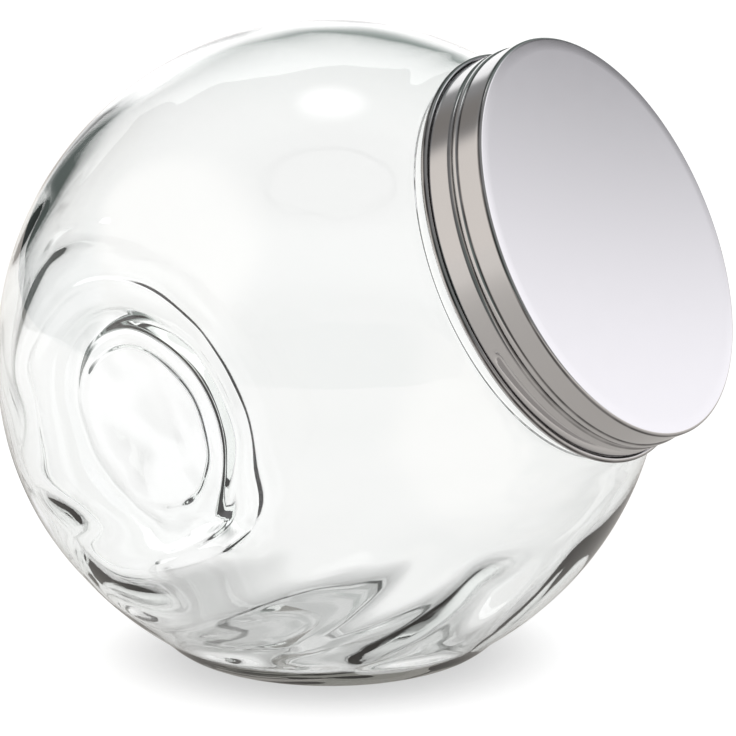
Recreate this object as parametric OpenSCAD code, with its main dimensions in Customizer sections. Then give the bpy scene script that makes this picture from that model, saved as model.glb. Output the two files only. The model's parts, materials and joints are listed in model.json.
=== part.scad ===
// Ball jar with a screw cap. The jar is one piece of blown glass that lies tilted on a flat
// in its side, or stands on the round base opposite its mouth. The cap is one pressed steel
// shell with a rolled hem and a formed thread, and it holds a loose sealing liner.
// +Z is up. The origin is the middle of the resting face, and the mouth leans towards +X.

/* [Glass ball] */
// Outside diameter of the ball
ball_d = 176; // [145:1:215]
// Thickness of the blown wall
wall_t = 3.8; // [2.5:0.1:5]
// Rise of the mouth's axis above level when the jar lies on its side
mouth_rise = 25; // [18:1:32]

/* [Resting face] */
// Depth of the slice that the resting face takes off the ball
rest_cut = 6.6; // [5:0.1:9]
// Radius of the soft heel around the resting face
rest_heel_r = 18; // [12:0.5:20]
// How far that heel swells past the ball
rest_swell = 1.1; // [0.5:0.1:1.5]
// Thickness of the glass behind the resting face
rest_floor_t = 5; // [4:0.1:7]

/* [Upright base] */
// Depth of the slice that the upright base takes off the ball
base_cut = 16; // [12:0.5:19]
// Radius of the heel around the upright base
base_heel_r = 12; // [8:0.5:14]
// How far that heel swells past the ball
base_swell = 0.4; // [0.2:0.1:1]
// Thickness of the glass behind the upright base
base_floor_t = 6; // [4.5:0.1:8]
// Diameter of the recess inside the bearing ring
recess_d = 71; // [50:1:80]
// Depth of that recess
recess_h = 1.3; // [0.6:0.1:2]
// Diameter of the shallow disc in the middle of the recess
disc_d = 52; // [30:1:56]
// Depth of that disc below the recess
disc_h = 0.6; // [0.3:0.1:1]

/* [Neck] */
// Inside diameter of the mouth
mouth_d = 92; // [76:1:104]
// Thickness of the neck's wall under its thread
neck_wall_t = 4.7; // [3.9:0.1:6]
// Height of the thread ridge above the neck
neck_thread_h = 1.2; // [0.9:0.1:1.4]
// Radius of the rounded lip's edges
lip_edge_r = 1.2; // [0.5:0.1:1.8]
// Radius of the bead of glass at the neck's root
neck_bead_r = 1.3; // [0.8:0.1:1.5]
// Height of the cap's hem above the neck's root
hem_gap = 3.7; // [3.4:0.1:6]

/* [Thread] */
// Rise of the thread in one turn
thread_pitch = 4.2; // [4:0.1:5.2]
// Angle round the mouth at which the cap's thread starts
cap_thread_start = -67; // [-180:1:180]
// Arc that the cap's thread covers
cap_thread_arc = 190; // [120:5:230]
// Gap between the top of the cap's thread and the ring groove
cap_thread_gap = 0.1; // [0:0.05:0.5]
// Arc that the neck's thread covers
neck_thread_arc = 360; // [240:5:400]
// Arc of the neck's thread that leads in below the start of the cap's thread
neck_thread_lead = 120; // [60:5:150]
// Gap between the neck's thread and the cap's wall
thread_gap = 0.35; // [0.3:0.05:0.6]

/* [Cap] */
// Height of the cap
cap_h = 17.4; // [16:0.1:22]
// Thickness of the steel sheet
sheet_t = 0.45; // [0.3:0.05:0.6]
// Step in from the lower band to the upper band
band_step = 0.4; // [0.2:0.05:0.5]
// Radius of the cap's top edge
cap_edge_r = 1; // [0.7:0.1:2]
// Outside radius of the rolled hem
curl_r = 0.9; // [0.8:0.05:1.2]
// Depth of the formed thread, seen from outside
formed_h = 1.7; // [1.5:0.05:1.8]
// Width of the formed thread, seen from outside
formed_w = 2.75; // [2.4:0.05:3]
// Height of the middle of the ring groove above the hem
groove_at = 8.45; // [8.3:0.05:8.8]
// Width of the ring groove
groove_w = 1.5; // [1:0.1:1.6]
// Depth of the ring groove
groove_h = 0.6; // [0.4:0.05:0.6]
// Radius of the ring bead above the groove
bead_r = 0.65; // [0.6:0.05:0.8]

/* [Liner] */
// Thickness of the sealing liner
liner_t = 1.2; // [0.8:0.1:2]
// Gap between the liner's edge and the round of the cap's top edge
liner_gap = 0.3; // [0.2:0.05:1]
// Slack between the liner and the cap's top, which turns over it
liner_slack = 0.05; // [0.02:0.01:0.2]

/* [Hidden] */
$fn = 96;

// glass
ball_r = ball_d / 2;
rest_drop = ball_r - rest_cut;
base_drop = ball_r - base_cut;
mouth_r = mouth_d / 2;
neck_r = mouth_r + neck_wall_t;
neck_root = sqrt(pow(ball_r, 2) - pow(neck_r, 2));
recess_slope = 4.5;
disc_slope = 2;
neck_sink = 12;
past = 1;

// cap, measured from the mouth's axis and up from its hem
hem_at = neck_root + hem_gap;
lower_in_r = neck_r + neck_thread_h + groove_h + thread_gap;
lower_r = lower_in_r + sheet_t;
upper_r = lower_r - band_step;
bead_at = groove_at + groove_w / 2 + bead_r;
groove_r = (pow(groove_w / 2, 2) + pow(groove_h, 2)) / (2 * groove_h);
liner_r = upper_r - cap_edge_r - liner_gap;
lip_at = cap_h - sheet_t - liner_slack - liner_t;

// thread
thread_step = 5;
thread_fade = 2;
fade_floor = 0.02;
cap_thread_top = groove_at - groove_w / 2 - cap_thread_gap - formed_w / 2;
cap_thread_low = cap_thread_top - thread_pitch * cap_thread_arc / 360;
neck_thread_low = cap_thread_low + thread_pitch * (1 / 2 - neck_thread_lead / 360);
neck_flank = 1.2;
neck_crest = 0.55;
formed_crest = 0.2;
formed_wall = 0.35;
into_sheet = 0.2;

// How far out the middle of a heel lies, for a foot cut off a ball of radius r
function heel_out(r, drop, heel, swell) =
    sqrt(pow(r + swell - heel, 2) - pow(drop - heel, 2));

// The level at which the ball gives way to that heel
function heel_level(r, drop, heel, swell) = -(drop - heel) * r / (r + swell - heel);

// How much of its full height a thread has at step i of n
function fade(i, n) = max(fade_floor, min(1, min(i, n - i) / thread_fade));

// Turns what is drawn along +Z about the ball's centre to run along the mouth's axis
module leaned() {
    rotate([0, 90 - mouth_rise, 0])
        children();
}

// Lifts the ball's centre to its height above the ground
module raised() {
    translate([0, 0, rest_drop])
        children();
}

// Everything on the mouth's axis above the hem
module on_mouth() {
    raised() leaned() translate([0, 0, hem_at])
        children();
}

// A round foot with a soft heel, facing -Z
module foot(r, drop, heel, swell) {
    out = heel_out(r, drop, heel, swell);
    rotate_extrude() {
        translate([0, -drop])
            square([out, heel]);
        translate([out, heel - drop])
            circle(heel);
    }
}

// The half space above a level
module above(level, r) {
    translate([-2 * r, -2 * r, level])
        cube(4 * r);
}

// The ball with both of its feet, about its centre. Its seam runs down the side that has
// neither foot nor mouth.
module ball_form(r, rest_d, rest_r, base_d, base_r) {
    intersection() {
        leaned() rotate([0, 0, 90]) sphere(r);
        above(heel_level(r, rest_d, rest_r, rest_swell), r);
        leaned() above(heel_level(r, base_d, base_r, base_swell), r);
    }
    foot(r, rest_d, rest_r, rest_swell);
    leaned() foot(r, base_d, base_r, base_swell);
}

// A ridge that winds round +Z. Its section runs from the skin out, or in, to the crest.
module winding_ridge(start, arc, low, skin_r, crest_r, skin_half, crest_half) {
    steps = ceil(arc / thread_step);
    points = [
        for (i = [0:steps])
            let (
                turn = start + arc * i / steps,
                up = low + thread_pitch * arc * i / steps / 360,
                tip = skin_r + (crest_r - skin_r) * fade(i, steps)
            )
            for (p = [[skin_r, -skin_half], [tip, -crest_half], [tip, crest_half], [skin_r, skin_half]])
                [p[0] * cos(turn), p[0] * sin(turn), up + p[1]]
    ];
    sides = [
        for (i = [0:steps - 1], j = [0:3])
            let (a = 4 * i + j, b = 4 * i + (j + 1) % 4)
            for (f = [[a, b, b + 4], [a, b + 4, a + 4]])
                f
    ];
    last = 4 * steps;
    ends = [[3, 2, 1], [3, 1, 0], [last, last + 1, last + 2], [last, last + 2, last + 3]];
    outward = concat(sides, ends);
    inward = [for (f = outward) [f[2], f[1], f[0]]];
    polyhedron(points, crest_r > skin_r ? outward : inward);
}

// The neck's outline, from the ball up to the rounded lip
module neck_section() {
    from = hem_gap + neck_sink;
    translate([mouth_r - past, -from])
        square([neck_r - mouth_r + past, from + lip_at - lip_edge_r]);
    translate([mouth_r + lip_edge_r, 0])
        square([neck_r - mouth_r - 2 * lip_edge_r, lip_at]);
    for (r = [mouth_r + lip_edge_r, neck_r - lip_edge_r])
        translate([r, lip_at - lip_edge_r])
            circle(lip_edge_r);
    translate([neck_r, neck_bead_r - hem_gap])
        circle(neck_bead_r);
}

module glass_jar() {
    color([0.86, 0.91, 0.89, 0.35])
    difference() {
        union() {
            raised() ball_form(ball_r, rest_drop, rest_heel_r, base_drop, base_heel_r);
            on_mouth() rotate_extrude() neck_section();
            on_mouth()
                winding_ridge(cap_thread_start - neck_thread_lead, neck_thread_arc, neck_thread_low,
                              neck_r - into_sheet, neck_r + neck_thread_h, neck_flank, neck_crest);
        }
        raised() ball_form(ball_r - wall_t, rest_drop - rest_floor_t, rest_heel_r - wall_t,
                           base_drop - base_floor_t, base_heel_r - wall_t / 2);
        raised() leaned() cylinder(h = hem_at + lip_at + past, r = mouth_r);
        raised() leaned() translate([0, 0, -base_drop]) {
            translate([0, 0, -past])
                cylinder(h = past + recess_h, r1 = recess_d / 2, r2 = recess_d / 2 - recess_slope);
            cylinder(h = recess_h + disc_h, r1 = disc_d / 2, r2 = disc_d / 2 - disc_slope);
        }
    }
}

// The cap as a filled half outline, moved in by inset
module cap_outline(inset) {
    difference() {
        union() {
            square([lower_r - inset, bead_at]);
            square([upper_r - inset, cap_h - cap_edge_r]);
            square([upper_r - cap_edge_r, cap_h - inset]);
            translate([upper_r - cap_edge_r, cap_h - cap_edge_r])
                circle(cap_edge_r - inset);
            translate([lower_r - bead_r, bead_at])
                circle(bead_r - inset);
        }
        translate([lower_r - groove_h + groove_r, groove_at])
            circle(groove_r + inset);
    }
}

// The sheet of the cap in section, with its hem rolled outwards
module cap_section() {
    difference() {
        cap_outline(0);
        cap_outline(sheet_t);
        translate([0, -past])
            square([lower_r + past, curl_r + past]);
    }
    translate([lower_in_r + curl_r, curl_r])
        difference() {
            circle(curl_r);
            circle(curl_r - sheet_t);
            translate([-2 * curl_r, 0])
                square(2 * curl_r);
        }
}

module lid_shell() {
    color([0.78, 0.77, 0.76])
    on_mouth()
    difference() {
        union() {
            rotate_extrude() cap_section();
            winding_ridge(cap_thread_start, cap_thread_arc, cap_thread_low,
                          lower_r - into_sheet, lower_in_r - formed_h,
                          formed_w / 2 + formed_wall / 2, formed_crest + formed_wall);
        }
        winding_ridge(cap_thread_start, cap_thread_arc, cap_thread_low,
                      lower_r + into_sheet, lower_r - formed_h,
                      formed_w / 2, formed_crest);
    }
}

module lid_liner() {
    color([0.93, 0.93, 0.91])
    on_mouth() translate([0, 0, lip_at])
        cylinder(h = liner_t, r = liner_r);
}

glass_jar();
lid_shell();
lid_liner();
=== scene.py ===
"""A clear glass ball jar with a polished steel screw cap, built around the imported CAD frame.

Lengths in the named values are in millimetres and become metres where a mesh is made. The jar
and the cap are worked out in the mouth's own frame: "along" is the distance from the ball's
centre along the mouth's axis, "out" the distance from that axis, and "turn" the angle round it.
"""

import json
import math

import bpy
import numpy as np
from mathutils import Matrix, Vector


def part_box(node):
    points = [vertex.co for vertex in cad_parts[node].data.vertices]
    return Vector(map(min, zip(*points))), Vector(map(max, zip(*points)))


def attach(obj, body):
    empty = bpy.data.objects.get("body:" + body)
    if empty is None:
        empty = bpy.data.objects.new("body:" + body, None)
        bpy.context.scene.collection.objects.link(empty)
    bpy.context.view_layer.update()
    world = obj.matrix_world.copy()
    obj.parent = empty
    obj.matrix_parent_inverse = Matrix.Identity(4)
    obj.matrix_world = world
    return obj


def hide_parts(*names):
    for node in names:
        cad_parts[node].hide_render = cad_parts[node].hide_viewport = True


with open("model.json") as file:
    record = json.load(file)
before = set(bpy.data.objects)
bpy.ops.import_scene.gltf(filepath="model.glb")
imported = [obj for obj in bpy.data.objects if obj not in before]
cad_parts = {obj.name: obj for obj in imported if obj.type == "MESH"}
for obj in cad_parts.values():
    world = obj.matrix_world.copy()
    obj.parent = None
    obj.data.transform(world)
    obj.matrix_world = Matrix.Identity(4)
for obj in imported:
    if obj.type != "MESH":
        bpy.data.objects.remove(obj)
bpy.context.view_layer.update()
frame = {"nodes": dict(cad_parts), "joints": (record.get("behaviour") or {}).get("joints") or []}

MM = 0.001


# ---------------------------------------------------------------- the frame's own sizes

screw = next(j for j in frame["joints"] if j["name"] == "lid_turn")
BALL_CENTRE = np.array(screw["pos_m"]) / MM
MOUTH_AXIS = np.array(screw["axis"]) / np.linalg.norm(screw["axis"])
# across the mouth: down towards the ground, and level to the side
MOUTH_DOWN = np.array([MOUTH_AXIS[2], 0.0, -MOUTH_AXIS[0]])
MOUTH_SIDE = np.cross(MOUTH_AXIS, MOUTH_DOWN)
DOWN = np.array([0.0, 0.0, -1.0])


def node_span(node):
    """Lowest and highest place along the mouth's axis, and the widest reach from it, in mm."""
    mesh = frame["nodes"][node].data
    co = np.zeros(len(mesh.vertices) * 3)
    mesh.vertices.foreach_get("co", co)
    away = co.reshape(-1, 3) / MM - BALL_CENTRE
    along = away @ MOUTH_AXIS
    out = np.linalg.norm(away - along[:, None] * MOUTH_AXIS, axis=1)
    return along.min(), along.max(), out.max()


BALL_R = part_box("glass_jar")[1].y / MM
REST_DROP = BALL_CENTRE[2]
LIP_AT = node_span("glass_jar")[1]
HEM_AT, TOP_AT, _ = node_span("lid_shell")
LINER_FROM, LINER_TO, LINER_R = node_span("lid_liner")

# ---------------------------------------------------------------- named sizes, in mm

# glass
WALL = 3.8
REST_HEEL, REST_SWELL, REST_FLOOR = 18.0, 1.1, 5.0
BASE_DROP, BASE_HEEL, BASE_SWELL, BASE_FLOOR = 72.0, 12.0, 0.4, 6.0
FEET_SOFT_OUTSIDE, FEET_SOFT_INSIDE = 0.5, 1.5
RECESS_R, RECESS_SLOPE, RECESS_DEPTH = 35.5, 3.6, 1.5
DISC_R, DISC_SLOPE, DISC_DEPTH = 26.0, 2.4, 0.9
RIM_AT, RIM_W, RIM_DEPTH = 45.0, 1.7, 0.5
INNER_RING_AT, INNER_RING_W, INNER_RING_H = 36.5, 3.8, 3.0
MOUTH_R, NECK_R = 46.0, 50.7
NECK_THREAD, LIP_EDGE, NECK_BEAD = 1.2, 1.2, 1.3
NECK_THREAD_HALF, NECK_THREAD_CREST, NECK_THREAD_FADE = 1.2, 0.45, 9.0
NECK_ROOT = math.sqrt(BALL_R**2 - NECK_R**2)
NECK_FILLET, FILLET_GROWS = 2.4, 6.0
BORE_ENDS_AT = 60.0

# how blown glass wanders: the waves' heights and lengths, and how far they are drawn out
FIRE_POLISH, FIRE_POLISH_WAVE = 0.06, 38.0
WANDER_ALL_OVER, WANDER_NEAR_GROUND, WANDER_NEAR_BASE = 0.06, 0.5, 0.25
LONG_WAVE, SHORT_WAVE, SHORT_WAVE_SHARE = 30.0, 13.0, 0.2
RING_WAVE, RING_WAVE_SHARE = 60.0, 0.25
DRAWN_OUT = 0.8
SAG = 0.9

# thread
PITCH = 4.2
CAP_THREAD_START, CAP_THREAD_ARC = -67.0, 190.0
NECK_THREAD_LEAD, NECK_THREAD_ARC = 120.0, 360.0
FORMED_GAP = 0.1

# cap, heights up from the hem
SHEET = 0.45
LOWER_R = 53.3
UPPER_R = 52.9
EDGE_R = 1.0
CURL_R = 0.9
GROOVE_AT, GROOVE_W, GROOVE_H = 8.45, 1.5, 0.6
BEAD_R = 0.65
FORMED_W, FORMED_CREST, FORMED_DEPTH, FORMED_FADE = 2.75, 0.2, 1.53, 3.0
FORMED_TOP = GROOVE_AT - GROOVE_W / 2 - FORMED_GAP
CAP_THREAD_LOW = FORMED_TOP - FORMED_W / 2 - PITCH * CAP_THREAD_ARC / 360
NECK_THREAD_LOW = CAP_THREAD_LOW + PITCH * (0.5 - NECK_THREAD_LEAD / 360)

# liner
FOAM_EDGE = 0.25


# ---------------------------------------------------------------- shapes as functions

def smooth_step(t):
    """3t^2 - 2t^3 with t held between 0 and 1."""
    t = np.clip(t, 0, 1)
    return t * t * (3 - 2 * t)


def smooth_max(a, b, soft):
    """The larger of two values, with their crossing rounded over a width of soft."""
    return (a + b + np.sqrt((a - b) ** 2 + soft**2)) / 2


def smooth_min(a, b, soft):
    """The smaller of two values, with their crossing rounded over a width of soft."""
    return (a + b - np.sqrt((a - b) ** 2 + soft**2)) / 2


def waves(direction, length, seed, count=14):
    """A gentle random field on a sphere: the sum of plane cosine waves that run in random
    directions, with wavelengths near length (in mm on the ball), over the root of their
    number. It is drawn out along the mouth's axis, the way the glass flowed."""
    rng = np.random.default_rng(seed)
    direction = direction - DRAWN_OUT * (direction @ MOUTH_AXIS)[..., None] * MOUTH_AXIS
    ways = rng.normal(size=(count, 3))
    ways /= np.linalg.norm(ways, axis=1)[:, None]
    pace = 2 * math.pi * BALL_R / length * rng.uniform(0.7, 1.4, count)
    phase = rng.uniform(0, 2 * math.pi, count)
    field = sum(np.cos(direction @ w * k + p) for w, k, p in zip(ways, pace, phase))
    return field / math.sqrt(count)


def foot_reach(cosine, drop, heel, swell, ball_r):
    """Distance from the ball's centre to a foot, in the direction whose cosine to the foot's
    axis is given: drop / cosine over the flat, then the far crossing of the ray with the
    heel's circle, and 0 where the ray misses it."""
    flat_r = math.sqrt((ball_r + swell - heel) ** 2 - (drop - heel) ** 2)
    sine = np.sqrt(np.clip(1 - cosine**2, 0, None))
    ahead = np.clip(cosine, 1e-6, None)
    toward = flat_r * sine + (drop - heel) * cosine
    under = toward**2 - (ball_r + swell - heel) ** 2 + heel**2
    round_part = np.where((under > 0) & (cosine > 0), toward + np.sqrt(np.clip(under, 0, None)), 0)
    return np.where((cosine > 0) & (drop * sine / ahead <= flat_r), drop / ahead, round_part)


def ball_reach(direction, ball_r, rest, base, soft):
    """Distance from the ball's centre to its skin in each direction: the ball cut off at the
    level of each heel's middle, or either foot where that stands further out."""
    reach = np.full(direction.shape[:-1], float(ball_r))
    feet = []
    for axis, (drop, heel, swell) in ((DOWN, rest), (-MOUTH_AXIS, base)):
        cosine = direction @ axis
        level = (drop - heel) * ball_r / (ball_r + swell - heel)
        cut = np.where(cosine > 0.05, level / np.clip(cosine, 0.05, None), 1e3)
        reach = np.minimum(reach, cut)
        feet.append(foot_reach(cosine, drop, heel, swell, ball_r))
    # where a ray misses a foot, or meets it deep inside, the skin stays as it is
    for foot in feet:
        reach = np.where(foot > 0.9 * ball_r - 10, smooth_max(reach, foot, soft), reach)
    return reach


def outer_reach(direction):
    """The outside of the ball, with the faint swell of fire-polished glass."""
    reach = ball_reach(direction, BALL_R, (REST_DROP, REST_HEEL, REST_SWELL),
                       (BASE_DROP, BASE_HEEL, BASE_SWELL), FEET_SOFT_OUTSIDE)
    away_from_neck = smooth_step((0.55 - direction @ MOUTH_AXIS) / 0.2)
    dip = np.clip((1 + waves(direction, FIRE_POLISH_WAVE, 12)) / 2, 0, 1)
    return reach - FIRE_POLISH * away_from_neck * dip


def inner_reach(direction):
    """The inside of the ball: its own feet are a floor's thickness nearer, the blown skin
    waves gently in and out, most of all near the feet, where the glass also sagged thicker,
    and a low bell-shaped ring stands round the base."""
    reach = ball_reach(direction, BALL_R - WALL,
                       (REST_DROP - REST_FLOOR, REST_HEEL - WALL, REST_SWELL),
                       (BASE_DROP - BASE_FLOOR, BASE_HEEL - WALL / 2, BASE_SWELL), FEET_SOFT_INSIDE)
    low = smooth_step((direction @ DOWN + 0.1) / 0.9)
    back = smooth_step((direction @ -MOUTH_AXIS - 0.2) / 0.7)
    uneven = WANDER_ALL_OVER + WANDER_NEAR_GROUND * low + WANDER_NEAR_BASE * back
    flow = waves(direction, LONG_WAVE, 21) * uneven
    flow = flow + waves(direction, SHORT_WAVE, 8) * SHORT_WAVE_SHARE * uneven
    from_base = BASE_DROP * np.tan(np.arccos(np.clip(-(direction @ MOUTH_AXIS), 0.3, 1)))
    ring = np.exp(-((from_base - INNER_RING_AT) / INNER_RING_W) ** 2)
    ring = ring * (1 + RING_WAVE_SHARE * waves(direction, RING_WAVE, 5))
    return reach + flow - SAG * low - INNER_RING_H * ring


def ridge(across, half_base, half_crest):
    """A thread's section, 1 over its crest and falling to 0 over its flanks."""
    return smooth_step((half_base - np.abs(across)) / (half_base - half_crest))


def thread_height(turn, height, start, arc, low, half_base, half_crest, fade):
    """How far a winding ridge stands up, 0..1, at a turn in degrees and a height in mm. The
    ridge climbs PITCH in a turn from low at start, and ends in a half round at each end."""
    best = np.zeros(np.broadcast(turn, height).shape)
    for lap in (-1, 0, 1):
        gone = (turn - start) + 360 * lap
        centre = low + PITCH * np.clip(gone, 0, arc) / 360
        beyond = np.maximum(-gone, gone - arc) / fade
        past_end = np.clip(beyond, 0, None) * half_base
        across = np.sqrt((height - centre) ** 2 + past_end**2)
        best = np.maximum(best, ridge(across, half_base, half_crest))
    return best


def sideways(turn):
    """The direction straight out from the mouth's axis at each turn, in radians."""
    return np.cos(turn)[..., None] * MOUTH_DOWN + np.sin(turn)[..., None] * MOUTH_SIDE


def mouth_points(out, along, turn):
    """Points in metres from out and along in mm and turn in radians: the ball's centre, plus
    along times the mouth's axis, plus out times the direction sideways at that turn."""
    at = BALL_CENTRE + along[..., None] * MOUTH_AXIS + out[..., None] * sideways(turn)
    return at * MM


def axis_point(along):
    """The point on the mouth's axis at a distance along it in mm, in metres."""
    return (BALL_CENTRE + along * MOUTH_AXIS) * MM


def full_circle(steps):
    """Evenly spaced turns round the mouth's axis, in radians."""
    return np.linspace(0, 2 * math.pi, steps, endpoint=False)


def turned(out, along, turn):
    """Rings of a section of (out, along) points carried round the mouth's axis."""
    grid_out, spin = np.meshgrid(out, turn, indexing="ij")
    return mouth_points(grid_out, np.repeat(along[:, None], len(turn), 1), spin)


def shell_mesh(name, first_pole, rings, last_pole):
    """A closed mesh from rings of points, (rows, steps, 3), each closed on itself, with a fan
    of triangles to a pole at either end. The rings run towards the mouth on a wall's outside
    and back on its inside, which turns every face outwards."""
    rows, steps, _ = rings.shape
    points = np.concatenate([rings.reshape(-1, 3), [first_pole, last_pole]])
    row, step = np.meshgrid(np.arange(rows - 1), np.arange(steps), indexing="ij")
    here, beside = row * steps + step, row * steps + (step + 1) % steps
    quads = np.stack([here, beside, beside + steps, here + steps], -1).reshape(-1, 4)
    around = np.arange(steps)
    after = (around + 1) % steps
    foot, head = rows * steps, rows * steps + 1
    last = (rows - 1) * steps
    fans = np.concatenate([
        np.stack([np.full(steps, foot), after, around], -1),
        np.stack([np.full(steps, head), last + around, last + after], -1),
    ])
    mesh = bpy.data.meshes.new(name)
    mesh.vertices.add(len(points))
    mesh.vertices.foreach_set("co", points.astype(np.float32).ravel())
    loops = np.concatenate([quads.ravel(), fans.ravel()])
    starts = np.concatenate([np.arange(len(quads)) * 4, len(quads) * 4 + np.arange(len(fans)) * 3])
    mesh.loops.add(len(loops))
    mesh.loops.foreach_set("vertex_index", loops.astype(np.int32))
    mesh.polygons.add(len(starts))
    mesh.polygons.foreach_set("loop_start", starts.astype(np.int32))
    mesh.update(calc_edges=True)
    mesh.validate()
    mesh.polygons.foreach_set("use_smooth", np.ones(len(mesh.polygons), bool))
    mesh.update()
    piece = bpy.data.objects.new(name, mesh)
    bpy.context.scene.collection.objects.link(piece)
    return piece


def arc_points(out, along, radius, start, end, count):
    """count points of an arc round (out, along), from start to end degrees."""
    angle = np.radians(np.linspace(start, end, count))
    return out + radius * np.cos(angle), along + radius * np.sin(angle)


# ---------------------------------------------------------------- the glass jar

def recess(out):
    """Depth of the base's recess at a distance from its middle: two soft steps, and a
    bell-shaped groove near the rim."""
    step = RECESS_DEPTH * smooth_step((RECESS_R - out) / RECESS_SLOPE)
    step = step + DISC_DEPTH * smooth_step((DISC_R - out) / DISC_SLOPE)
    return step + RIM_DEPTH * np.exp(-((out - RIM_AT) / RIM_W) ** 2)


def ball_rows(angles, turn, reach, sunk=None):
    """Rings over the ball: each point lies at reach(direction) in the direction that leans
    from the mouth's axis by the row's angle, and is sunk into the base by sunk(out)."""
    lean, spin = np.meshgrid(angles, turn, indexing="ij")
    direction = np.cos(lean)[..., None] * MOUTH_AXIS + np.sin(lean)[..., None] * sideways(spin)
    far = reach(direction)
    out, along = far * np.sin(lean), far * np.cos(lean)
    if sunk is not None:
        along = along + sunk(out)
    return mouth_points(out, along, spin)


def neck_rows(levels, turn, skin, ball_r):
    """Rings along the neck at given levels: the larger of the ball's radius there and the
    neck's skin, with their crossing filled by a soft fillet that fades out into the ball."""
    level, spin = np.meshgrid(levels, turn, indexing="ij")
    ball = np.sqrt(np.clip(ball_r**2 - level**2, 0, None))
    fillet = NECK_FILLET * smooth_step((level - levels.min()) / FILLET_GROWS) + 1e-3
    return mouth_points(smooth_max(ball, skin(level, spin), fillet), level, spin)


def neck_skin(level, turn):
    """The neck's radius: its wall, the bead of glass at its root, and the thread."""
    bead_up = level - (NECK_ROOT + NECK_BEAD)
    bead = np.sqrt(np.clip(NECK_BEAD**2 - bead_up**2, 0, None))
    thread = thread_height(np.degrees(turn), level - HEM_AT, CAP_THREAD_START - NECK_THREAD_LEAD,
                           NECK_THREAD_ARC, NECK_THREAD_LOW, NECK_THREAD_HALF,
                           NECK_THREAD_CREST, NECK_THREAD_FADE)
    return NECK_R + np.maximum(bead, NECK_THREAD * thread)


def bore_skin(level, turn):
    """The mouth's bore: one radius all the way down."""
    return MOUTH_R + 0 * level


def inner_entry(direction):
    """The inside of the ball, kept plain next to the neck so that it meets the bore smoothly."""
    near_neck = smooth_step((direction @ MOUTH_AXIS - 0.45) / 0.2)
    return inner_reach(direction) * (1 - near_neck) + (BALL_R - WALL) * near_neck


def make_jar():
    """The jar as one closed surface: from the middle of the base up the outside of the ball
    and the neck, over the lip, and down the inside to the middle of the floor again."""
    turn = full_circle(240)
    # rings stand close where the glass turns sharply: the base's steps, its rim and the heel
    base_out = np.concatenate([
        np.linspace(3, 22, 6), np.linspace(23.5, 26.5, 9), np.linspace(27.5, 30.5, 4),
        np.linspace(31.2, 35.8, 12), np.linspace(37, 42.5, 4), np.linspace(43.5, 49.5, 16),
    ])
    heel_and_ball = np.radians(np.concatenate([
        np.linspace(145.2, 136, 16), np.linspace(134.6, 47, 66),
    ]))
    neck_from = BALL_R * math.cos(heel_and_ball[-1]) + 1.2
    lip_at = LIP_AT - LIP_EDGE
    neck_levels = np.concatenate([
        np.linspace(neck_from, NECK_ROOT - 1, 9), np.linspace(NECK_ROOT - 0.6, lip_at, 56),
    ])
    inner_r = BALL_R - WALL
    inside_from = math.degrees(math.acos(BORE_ENDS_AT / inner_r)) + 1.3
    inside = np.radians(np.concatenate([
        np.linspace(inside_from, 128, 80), np.linspace(128.8, 160, 44), np.linspace(161.5, 178, 11),
    ]))
    rings = np.concatenate([
        ball_rows(math.pi - np.arctan(base_out / BASE_DROP), turn, outer_reach, recess),
        ball_rows(heel_and_ball, turn, outer_reach),
        neck_rows(neck_levels, turn, neck_skin, BALL_R),
        turned(*arc_points(NECK_R - LIP_EDGE, lip_at, LIP_EDGE, 12, 90, 7), turn),
        turned(*arc_points(MOUTH_R + LIP_EDGE, lip_at, LIP_EDGE, 90, 168, 7), turn),
        neck_rows(np.linspace(lip_at, BORE_ENDS_AT, 34), turn, bore_skin, inner_r),
        ball_rows(inside, turn, inner_entry),
    ])
    floor_at = -inner_entry(-MOUTH_AXIS[None, :])[0]
    base_middle = axis_point(RECESS_DEPTH + DISC_DEPTH - BASE_DROP)
    return shell_mesh("ball_jar", base_middle, rings, axis_point(floor_at))


# ---------------------------------------------------------------- the cap

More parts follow.
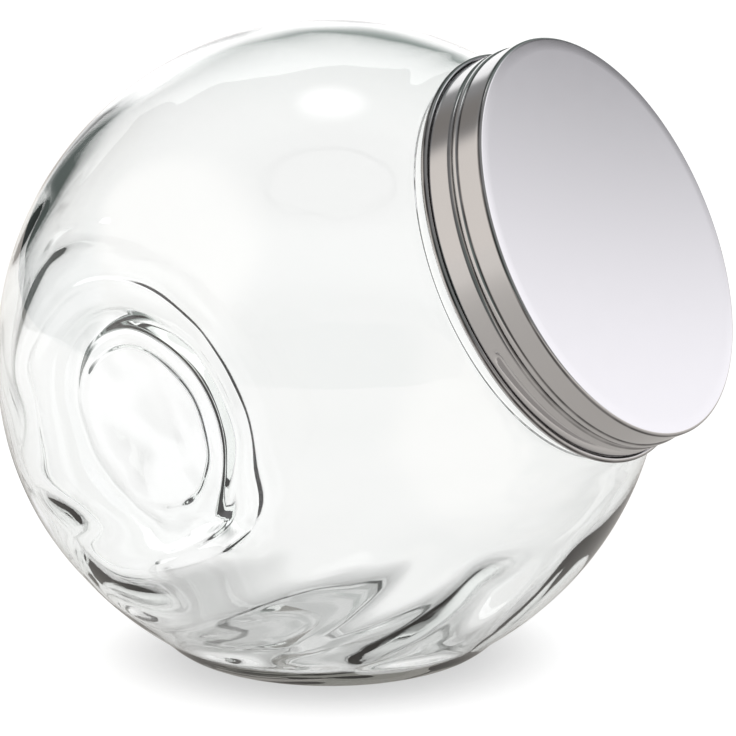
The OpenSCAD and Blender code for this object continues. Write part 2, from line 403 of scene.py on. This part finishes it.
def cap_sheet():
    """The cap's section as (out, height) points: from the middle of the top out over the
    edge, down the bands, round the rolled hem, and back up the inside to the middle."""
    height = TOP_AT - HEM_AT
    groove_r = (GROOVE_W**2 / 4 + GROOVE_H**2) / (2 * GROOVE_H)
    bead_at = GROOVE_AT + GROOVE_W / 2 + BEAD_R
    bead_top, groove_foot = bead_at + BEAD_R, GROOVE_AT - GROOVE_W / 2

    def skin(inset):
        """One skin of the sheet, inset from the outside: the edge's arc, then the larger of
        the band and the bead's circle, less the groove's circle."""
        edge_out, edge_up = arc_points(UPPER_R - EDGE_R, height - EDGE_R, EDGE_R - inset, 90, 0, 9)
        heights = np.concatenate([
            np.linspace(edge_up[-1] - 0.6, bead_top + 0.4, 9),
            np.linspace(bead_top + 0.3, groove_foot - 0.4, 36),
            np.linspace(groove_foot - 0.6, CURL_R + 0.15, 46),
        ])
        lower = smooth_step((bead_at + 0.1 - heights) / 0.3)
        out = UPPER_R - inset + (LOWER_R - UPPER_R) * lower
        bead = np.sqrt(np.clip((BEAD_R - inset) ** 2 - (heights - bead_at) ** 2, 0, None))
        out = smooth_max(out, LOWER_R - BEAD_R + bead, 0.08)
        dip = np.sqrt(np.clip((groove_r + inset) ** 2 - (heights - GROOVE_AT) ** 2, 0, None))
        cut = LOWER_R - GROOVE_H + groove_r - dip
        out = np.where(dip > 0, smooth_min(out, cut, 0.12), out)
        return np.concatenate([edge_out, out]), np.concatenate([edge_up, heights])

    spread = np.array([6.0, 16, 26, 36, 44, 49])
    outer_out, outer_up = skin(0)
    inner_out, inner_up = skin(SHEET)
    curl_out = LOWER_R - SHEET + CURL_R
    # the hem rolls outwards, so the sheet's outside skin becomes the inside of the roll
    roll_in = arc_points(curl_out, CURL_R, CURL_R - SHEET, 180, 450, 22)
    roll_out = arc_points(curl_out, CURL_R, CURL_R, 450, 180, 26)
    out = np.concatenate([spread, outer_out, roll_in[0], roll_out[0], inner_out[::-1], spread[::-1]])
    up = np.concatenate([
        np.full(len(spread), height), outer_up, roll_in[1], roll_out[1], inner_up[::-1],
        np.full(len(spread), height - SHEET),
    ])
    return out, up


def make_cap():
    """The cap's sheet carried round the mouth's axis, with the thread pressed into its lower
    band: both skins move in together, by the thread's section times its depth."""
    turn = full_circle(330)
    out, up = cap_sheet()
    grid_out, spin = np.meshgrid(out, turn, indexing="ij")
    grid_up = np.repeat(up[:, None], len(turn), 1)
    formed = thread_height(np.degrees(spin), grid_up, CAP_THREAD_START, CAP_THREAD_ARC,
                           CAP_THREAD_LOW, FORMED_W / 2, FORMED_CREST, FORMED_FADE)
    on_band = (grid_out > LOWER_R - SHEET - 0.3) & (grid_out < LOWER_R + 0.01)
    on_band &= (grid_up > CURL_R + 0.1) & (grid_up < GROOVE_AT - GROOVE_W / 2)
    grid_out = grid_out - np.where(on_band, FORMED_DEPTH * formed, 0)
    rings = mouth_points(grid_out, HEM_AT + grid_up, spin)[::-1]
    return shell_mesh("screw_cap", axis_point(TOP_AT - SHEET), rings, axis_point(TOP_AT))


# ---------------------------------------------------------------- the liner

def make_liner():
    """A foam disc with softly rounded edges: a flat face, an arc, a wall, an arc, a face."""
    face = np.array([8.0, 20, 32, 42, 48])
    edge_out = LINER_R - FOAM_EDGE
    lower = arc_points(edge_out, LINER_FROM + FOAM_EDGE, FOAM_EDGE, -90, 0, 6)
    upper = arc_points(edge_out, LINER_TO - FOAM_EDGE, FOAM_EDGE, 0, 90, 6)
    out = np.concatenate([face, lower[0], upper[0], face[::-1]])
    along = np.concatenate([
        np.full(len(face), LINER_FROM), lower[1], upper[1], np.full(len(face), LINER_TO),
    ])
    rings = turned(out, along, full_circle(180))
    return shell_mesh("foam_liner", axis_point(LINER_FROM), rings, axis_point(LINER_TO))


# ---------------------------------------------------------------- materials

def linear(hex_colour):
    """An sRGB hex colour as linear red, green, blue and alpha 1."""
    parts = [int(hex_colour[i:i + 2], 16) / 255 for i in (1, 3, 5)]
    return [p / 12.92 if p <= 0.04045 else ((p + 0.055) / 1.055) ** 2.4 for p in parts] + [1.0]


def add(tree, kind, settings=(), **links):
    """Adds a node: settings are (name, value) pairs for its properties or inputs, and links
    feed its inputs from other nodes' sockets. A link names its input with _ for a space, or
    as i and the input's number."""
    node = tree.nodes.new(kind)
    for key, value in settings:
        if isinstance(key, str) and hasattr(node, key):
            setattr(node, key, value)
        else:
            node.inputs[key].default_value = value
    for key, socket in links.items():
        slot = int(key[1:]) if key[0] == "i" and key[1:].isdigit() else key.replace("_", " ")
        tree.links.new(socket, node.inputs[slot])
    return node


def blank_material(name):
    """A new material whose node tree is empty, and that tree."""
    material = bpy.data.materials.new(name)
    material.use_nodes = True
    material.node_tree.nodes.clear()
    return material, material.node_tree


def clear_soda_lime_glass():
    """Blown soda-lime glass, fire-polished. It gives the eye clear walls with a faint
    green-grey cast where the light runs a long way through the glass."""
    material, tree = blank_material("blown_soda_lime_glass")
    where = add(tree, "ShaderNodeTexCoord")
    ripple = add(tree, "ShaderNodeTexNoise", [("Scale", 1 / (18 * MM)), ("Detail", 1.0)],
                 Vector=where.outputs["Object"])
    bump = add(tree, "ShaderNodeBump", [("Strength", 0.25), ("Distance", 0.12 * MM)],
               Height=ripple.outputs["Fac"])
    glass = add(tree, "ShaderNodeBsdfPrincipled", [
        ("Base Color", linear("#FFFFFF")), ("Roughness", 0.0), ("IOR", 1.52),
        ("Transmission Weight", 1.0)], Normal=bump.outputs["Normal"])
    tint = add(tree, "ShaderNodeVolumeAbsorption", [("Color", linear("#D4E6DB")), ("Density", 8.0)])
    add(tree, "ShaderNodeOutputMaterial", Surface=glass.outputs["BSDF"], Volume=tint.outputs["Volume"])
    return material


# painted dark reflection lines along the cap's edges and in its groove: height above the hem and half
# width in mm, strength
PAINTED_STEEL_LINES = (
    (1.30, 0.50, 0.97),      # over the rolled hem
    (7.75, 0.40, 0.60),      # at the groove's foot
    (8.65, 1.00, 0.95),      # in the groove
    (10.55, 0.45, 0.95),     # over the bead
    (16.80, 0.50, 0.92),     # round the top edge
)


def polished_steel():
    """Pressed stainless steel sheet, polished and then handled. It gives the eye soft mirror reflections,
    faint hairlines, and patchy painted dark lines along the cap's edges and in its groove, in place of
    dark reflections."""
    material, tree = blank_material("polished_stainless_steel")
    where = add(tree, "ShaderNodeTexCoord")
    height = add(tree, "ShaderNodeVectorMath", [("operation", "DOT_PRODUCT"), (1, MOUTH_AXIS.tolist())],
                 i0=where.outputs["Object"])
    hem = float(BALL_CENTRE @ MOUTH_AXIS + HEM_AT)
    # painted dark reflection lines, one at each height in the table
    painted_dark_lines = None
    for level, half, strength in PAINTED_STEEL_LINES:
        gap = add(tree, "ShaderNodeMath", [("operation", "SUBTRACT"), (1, (hem + level) * MM)],
                  i0=height.outputs["Value"])
        gap = add(tree, "ShaderNodeMath", [("operation", "ABSOLUTE")], i0=gap.outputs[0])
        line = add(tree, "ShaderNodeMapRange", [
            ("interpolation_type", "SMOOTHSTEP"), ("From Min", 0.0), ("From Max", half * MM),
            ("To Min", strength), ("To Max", 0.0)], Value=gap.outputs[0])
        if painted_dark_lines is None:
            painted_dark_lines = line.outputs["Result"]
        else:
            painted_dark_lines = add(tree, "ShaderNodeMath", [("operation", "MAXIMUM")],
                        i0=painted_dark_lines, i1=line.outputs["Result"]).outputs[0]
    patchy = add(tree, "ShaderNodeTexNoise", [("Scale", 1 / (9 * MM)), ("Detail", 3.0)],
                 Vector=where.outputs["Object"])
    kept = add(tree, "ShaderNodeMapRange", [("From Min", 0.3), ("From Max", 0.6), ("To Min", 0.65)],
               Value=patchy.outputs["Fac"])
    # the painted dark lines, broken into patches by noise; the colour below runs to near black on them
    painted_darkness = add(tree, "ShaderNodeMath", [("operation", "MULTIPLY")], i0=painted_dark_lines, i1=kept.outputs["Result"])
    colour = add(tree, "ShaderNodeMix", [
        ("data_type", "RGBA"), (6, linear("#DAD9DA")), (7, linear("#241F1D"))], i0=painted_darkness.outputs[0])
    hair = add(tree, "ShaderNodeTexNoise", [("Scale", 1 / (5 * MM)), ("Detail", 6.0),
                                            ("Roughness", 0.7)], Vector=where.outputs["Object"])
    rough = add(tree, "ShaderNodeMapRange", [("To Min", 0.10), ("To Max", 0.18)],
                Value=hair.outputs["Fac"])
    steel = add(tree, "ShaderNodeBsdfPrincipled", [("Metallic", 1.0)],
                Base_Color=colour.outputs[2], Roughness=rough.outputs["Result"])
    add(tree, "ShaderNodeOutputMaterial", Surface=steel.outputs["BSDF"])
    return material


def foam():
    """Closed-cell polyethylene foam sheet. It gives the eye a matt white with a fine grain."""
    material, tree = blank_material("white_polyethylene_foam")
    where = add(tree, "ShaderNodeTexCoord")
    cells = add(tree, "ShaderNodeTexVoronoi", [("Scale", 1 / (0.6 * MM))], Vector=where.outputs["Object"])
    bump = add(tree, "ShaderNodeBump", [("Strength", 0.3), ("Distance", 0.05 * MM)],
               Height=cells.outputs["Distance"])
    sheet = add(tree, "ShaderNodeBsdfPrincipled", [
        ("Base Color", linear("#EDEDE8")), ("Roughness", 0.6)], Normal=bump.outputs["Normal"])
    add(tree, "ShaderNodeOutputMaterial", Surface=sheet.outputs["BSDF"])
    return material


# ---------------------------------------------------------------- the pieces

jar = make_jar()
jar.data.materials.append(clear_soda_lime_glass())
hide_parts("glass_jar")
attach(jar, "jar")

cap = make_cap()
cap.data.materials.append(polished_steel())
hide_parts("lid_shell")
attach(cap, "lid")

liner = make_liner()
liner.data.materials.append(foam())
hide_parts("lid_liner")
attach(liner, "liner")


# ---------------------------------------------------------------- the camera

AZIMUTH, ELEVATION = math.radians(32.7), math.radians(11.56)
SENSOR, LENS = 36.0, 162.16
# the camera's place from the ball's centre, in ball radii
CAMERA_BACK, CAMERA_RIGHT, CAMERA_DOWN = 10.0, 0.1137, 0.0456
FARTHEST = 50.0      # in metres, as the camera takes it


def make_camera():
    """A long lens that looks a little down on the jar, with the ball left of its middle so
    that the cap has room on the right."""
    back = Vector((math.sin(AZIMUTH) * math.cos(ELEVATION),
                   -math.cos(AZIMUTH) * math.cos(ELEVATION), math.sin(ELEVATION)))
    right = Vector((math.cos(AZIMUTH), math.sin(AZIMUTH), 0))
    up = back.cross(right)
    camera = bpy.data.objects.new("camera", bpy.data.cameras.new("camera"))
    camera.data.sensor_width = SENSOR
    camera.data.lens = LENS
    camera.data.clip_end = FARTHEST
    turn = Matrix((right, up, back)).transposed()
    away = back * CAMERA_BACK + right * CAMERA_RIGHT - up * CAMERA_DOWN
    place = Vector(BALL_CENTRE * MM) + away * BALL_R * MM
    camera.matrix_world = Matrix.Translation(place) @ turn.to_4x4()
    bpy.context.scene.collection.objects.link(camera)
    bpy.context.scene.camera = camera
    return back, right, up


view_back, view_right, view_up = make_camera()


# ---------------------------------------------------------------- floor, world and light

# the floor: distances in mm, brightness where white is 1
FLOOR_HALF_SIDE = 6000.0
TABLE_WHITE = linear("#E7E7E7")
EYE_GLOW, EYE_SHARE = 1.75, 0.55
# the floor's painted glow as glass and steel see it: where it changes, in mm, and how bright
FLOOR_DIMS_FROM, FLOOR_DIMS_TO, FLOOR_NEAR, FLOOR_FAR = 90.0, 420.0, 1.58, 0.70
SHEEN_FROM, SHEEN_TO, SHEEN_LOW, SHEEN_HIGH = 80.0, 800.0, 0.70, 1.25
# painted shadows on the floor: a dark ring where the foot's rim stands and a grey patch under the ball
CONTACT_R, CONTACT_W, CONTACT_SHADOW_LEVEL = 31.9, 2.6, 0.02
SHADOW_POOL_R, SHADOW_POOL_LEVEL = 72.0, 0.60

# patches of the studio: (right, up, towards the camera), degrees of full and of no effect,
# brightness and colour. A later patch lies over an earlier one.
PLAIN, WARM, COOL, GREEN = (1.0, 1.0, 1.0), (1.0, 0.94, 0.88), (0.97, 0.96, 1.0), (0.86, 1.0, 0.95)
STUDIO_LEVEL = 0.30
STUDIO = (
    ((-0.85, 0.2, 0.35), 36, 50, 0.88, WARM),        # a pale wall to the left and front
    ((0, 0, 1), 26, 44, 0.26, GREEN),                # the dark end of the room behind the camera
    ((0, 0, -1), 38, 45, 1.22, PLAIN),               # the backdrop
    ((-0.85, -0.1, -0.5), 34, 43, 0.20, GREEN),      # a dark flag on the left
    ((-0.55, 0.25, -0.80), 11, 19, 0.12, GREEN),     # its edge, across the upper left
    ((-0.70, 0.50, -0.50), 9, 19, 0.25, WARM),       # its upper end, further off
    ((0.15, 0.85, -0.5), 24, 38, 0.28, GREEN),       # a dim ceiling behind
    ((0.861, 0.357, -0.363), 20, 32, 1.38, COOL),    # a soft box on the right
    ((0.68, 0.54, -0.56), 5, 18.2, 0.15, COOL),      # its dim upper corner
    ((0.60, 0.25, -0.76), 5, 12, 0.10, PLAIN),       # the gap between it and the backdrop
    ((0.68, -0.25, -0.69), 12, 25, 0.36, GREEN),     # the same gap, lower down
    ((0, 0.997, -0.08), 3, 10, 1.7, PLAIN),          # a small soft box overhead
)


def make_floor():
    """A white floor that glows. Eyes see it white and keep the jar's soft shadow. Glass shows its painted
    glow bright near the jar and dim where it runs out towards the camera, and steel mirrors it warm, and
    dimmest near the jar. A painted shadow makes it greyer under the ball, and a painted contact shadow
    makes it dark in the narrow ring where the foot's rim shuts the light out."""
    side = FLOOR_HALF_SIDE * MM
    mesh = bpy.data.meshes.new("floor")
    corners = [(-side, -side, 0), (side, -side, 0), (side, side, 0), (-side, side, 0)]
    mesh.from_pydata(corners, [], [(0, 1, 2, 3)])
    floor = bpy.data.objects.new("floor", mesh)
    bpy.context.scene.collection.objects.link(floor)
    material, tree = blank_material("white_table")
    path = add(tree, "ShaderNodeLightPath")
    where = add(tree, "ShaderNodeTexCoord")
    # painted light: for glass and steel the floor glows more or less by where it lies, brighter near the
    # jar for glass, warm and dimmest near the jar for steel
    front = view_back.copy()
    front.z = 0
    front.normalize()
    nearer = add(tree, "ShaderNodeVectorMath", [("operation", "DOT_PRODUCT"), (1, front)],
                 i0=where.outputs["Object"])
    dim = add(tree, "ShaderNodeMapRange", [
        ("interpolation_type", "SMOOTHSTEP"), ("From Min", FLOOR_DIMS_FROM * MM),
        ("From Max", FLOOR_DIMS_TO * MM), ("To Min", FLOOR_NEAR), ("To Max", FLOOR_FAR)],
        Value=nearer.outputs["Value"])
    away = add(tree, "ShaderNodeVectorMath", [("operation", "LENGTH")], i0=where.outputs["Object"])
    sheen = add(tree, "ShaderNodeMapRange", [
        ("interpolation_type", "SMOOTHSTEP"), ("From Min", SHEEN_FROM * MM),
        ("From Max", SHEEN_TO * MM), ("To Min", SHEEN_LOW), ("To Max", SHEEN_HIGH)],
        Value=away.outputs["Value"])
    mirrored = add(tree, "ShaderNodeMath", [("operation", "SUBTRACT"), ("use_clamp", True)],
                   i0=path.outputs["Is Glossy Ray"], i1=path.outputs["Is Transmission Ray"])
    level = add(tree, "ShaderNodeMix", [("data_type", "FLOAT")],
                i0=mirrored.outputs[0], i2=dim.outputs["Result"], i3=sheen.outputs["Result"])
    level = add(tree, "ShaderNodeMix", [("data_type", "FLOAT"), (3, EYE_GLOW)],
                i0=path.outputs["Is Camera Ray"], i2=level.outputs["Result"])
    # painted contact shadow: dark in a narrow ring at the foot's rim
    from_rim = add(tree, "ShaderNodeMath", [("operation", "SUBTRACT"), (1, CONTACT_R * MM)],
                   i0=away.outputs["Value"])
    from_rim = add(tree, "ShaderNodeMath", [("operation", "ABSOLUTE")], i0=from_rim.outputs[0])
    contact_shadow = add(tree, "ShaderNodeMapRange", [
        ("interpolation_type", "SMOOTHSTEP"), ("From Min", CONTACT_W * MM / 3),
        ("From Max", CONTACT_W * MM), ("To Min", CONTACT_SHADOW_LEVEL), ("To Max", 1.0)],
        Value=from_rim.outputs[0])
    # painted shadow: greyer under the ball, fading out further away
    shadow_pool = add(tree, "ShaderNodeMapRange", [
        ("interpolation_type", "SMOOTHSTEP"), ("From Min", CONTACT_R * MM),
        ("From Max", SHADOW_POOL_R * MM), ("To Min", SHADOW_POOL_LEVEL), ("To Max", 1.0)],
        Value=away.outputs["Value"])
    # the painted shadows darken both the floor's colour and its glow
    shade = add(tree, "ShaderNodeMath", [("operation", "MULTIPLY")],
                i0=contact_shadow.outputs["Result"], i1=shadow_pool.outputs["Result"])
    glow_level = add(tree, "ShaderNodeMath", [("operation", "MULTIPLY")],
                     i0=level.outputs["Result"], i1=shade.outputs[0])
    white = add(tree, "ShaderNodeVectorMath", [("operation", "SCALE"), (0, TABLE_WHITE[:3])],
                i3=shade.outputs[0])
    paint = add(tree, "ShaderNodeBsdfDiffuse", Color=white.outputs["Vector"])
    tone = add(tree, "ShaderNodeMix", [("data_type", "RGBA"), (6, PLAIN + (1,)), (7, WARM + (1,))],
               i0=mirrored.outputs[0])
    glow = add(tree, "ShaderNodeEmission", Color=tone.outputs[2], Strength=glow_level.outputs[0])
    seen = add(tree, "ShaderNodeMath", [("operation", "MAXIMUM")],
               i0=path.outputs["Is Camera Ray"], i1=path.outputs["Is Transmission Ray"])
    seen = add(tree, "ShaderNodeMath", [("operation", "MAXIMUM")],
               i0=seen.outputs[0], i1=path.outputs["Is Glossy Ray"])
    share = add(tree, "ShaderNodeMath", [("operation", "MULTIPLY"), (1, EYE_SHARE)], i0=seen.outputs[0])
    mix = add(tree, "ShaderNodeMixShader",
              i0=share.outputs[0], i1=paint.outputs[0], i2=glow.outputs[0])
    add(tree, "ShaderNodeOutputMaterial", Surface=mix.outputs[0])
    mesh.materials.append(material)


def make_world():
    """A plain studio all round as soft-edged patches of direction. Eyes see plain white."""
    world = bpy.data.worlds.new("studio")
    bpy.context.scene.world = world
    world.use_nodes = True
    tree = world.node_tree
    tree.nodes.clear()
    where = add(tree, "ShaderNodeTexCoord")
    level = None
    for (right, up, back), inner, outer, brightness, tone in STUDIO:
        way = (view_right * right + view_up * up + view_back * back).normalized()
        cosine = add(tree, "ShaderNodeVectorMath", [("operation", "DOT_PRODUCT"), (1, way)],
                     i0=where.outputs["Generated"])
        share = add(tree, "ShaderNodeMapRange", [
            ("interpolation_type", "SMOOTHSTEP"), ("From Min", math.cos(math.radians(outer))),
            ("From Max", math.cos(math.radians(inner)))], Value=cosine.outputs["Value"])
        mix = add(tree, "ShaderNodeMix", [
            ("data_type", "RGBA"), (6, (STUDIO_LEVEL,) * 3 + (1,)),
            (7, tuple(brightness * part for part in tone) + (1,))], i0=share.outputs["Result"])
        if level is not None:
            tree.links.new(level, mix.inputs[6])
        level = mix.outputs[2]
    path = add(tree, "ShaderNodeLightPath")
    seen = add(tree, "ShaderNodeMix", [("data_type", "RGBA"), (7, (1, 1, 1, 1))],
               i0=path.outputs["Is Camera Ray"], i6=level)
    back = add(tree, "ShaderNodeBackground", [("Strength", 1.0)], Color=seen.outputs[2])
    add(tree, "ShaderNodeOutputWorld", Surface=back.outputs[0])


make_floor()
make_world()

bpy.context.scene.view_settings.view_transform = "Standard"
